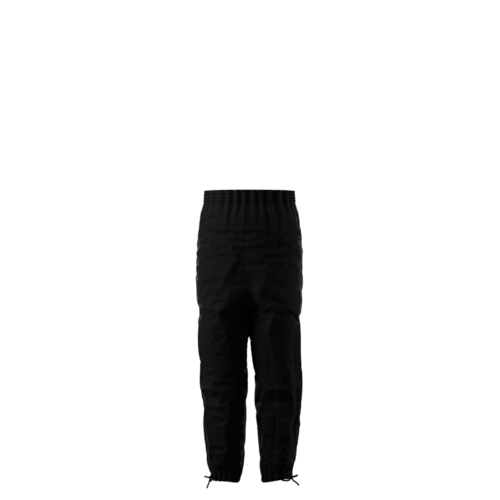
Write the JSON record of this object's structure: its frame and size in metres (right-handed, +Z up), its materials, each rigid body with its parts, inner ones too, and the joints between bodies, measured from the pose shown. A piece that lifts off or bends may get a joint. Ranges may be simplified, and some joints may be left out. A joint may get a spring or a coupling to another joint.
{
  "type": "samue trousers",
  "caption": "Loose ankle-length work trousers of black cotton, gathered at an elastic waist and tied with a cord at each hem, in their worn hollow form.",
  "frame": {"origin": "middle of the waistband, at half its height, where the wearer's waist holds the trousers up", "axes": "+Z up through the waist opening, -Y the wearer's front, +X the wearer's left"},
  "size_m": [0.368, 0.2877, 1.0208],
  "materials": {
    "cloth": "matt slubbed plain-weave cotton, near black with a faint purple cast",
    "cord": "round braided cotton cord, black"
  },
  "bodies": {
    "root": {"front_left": "cloth", "front_right": "cloth", "back_left": "cloth", "back_right": "cloth", "waistband": "cloth", "hem_casing_left": "cloth", "hem_casing_right": "cloth", "tie_left_knot": "cord", "tie_left_loop_front": "cord", "tie_left_loop_back": "cord", "tie_left_tail_front": "cord", "tie_left_tail_back": "cord", "tie_right_knot": "cord", "tie_right_loop_front": "cord", "tie_right_loop_back": "cord", "tie_right_tail_front": "cord", "tie_right_tail_back": "cord"}
  },
  "joints": []
}
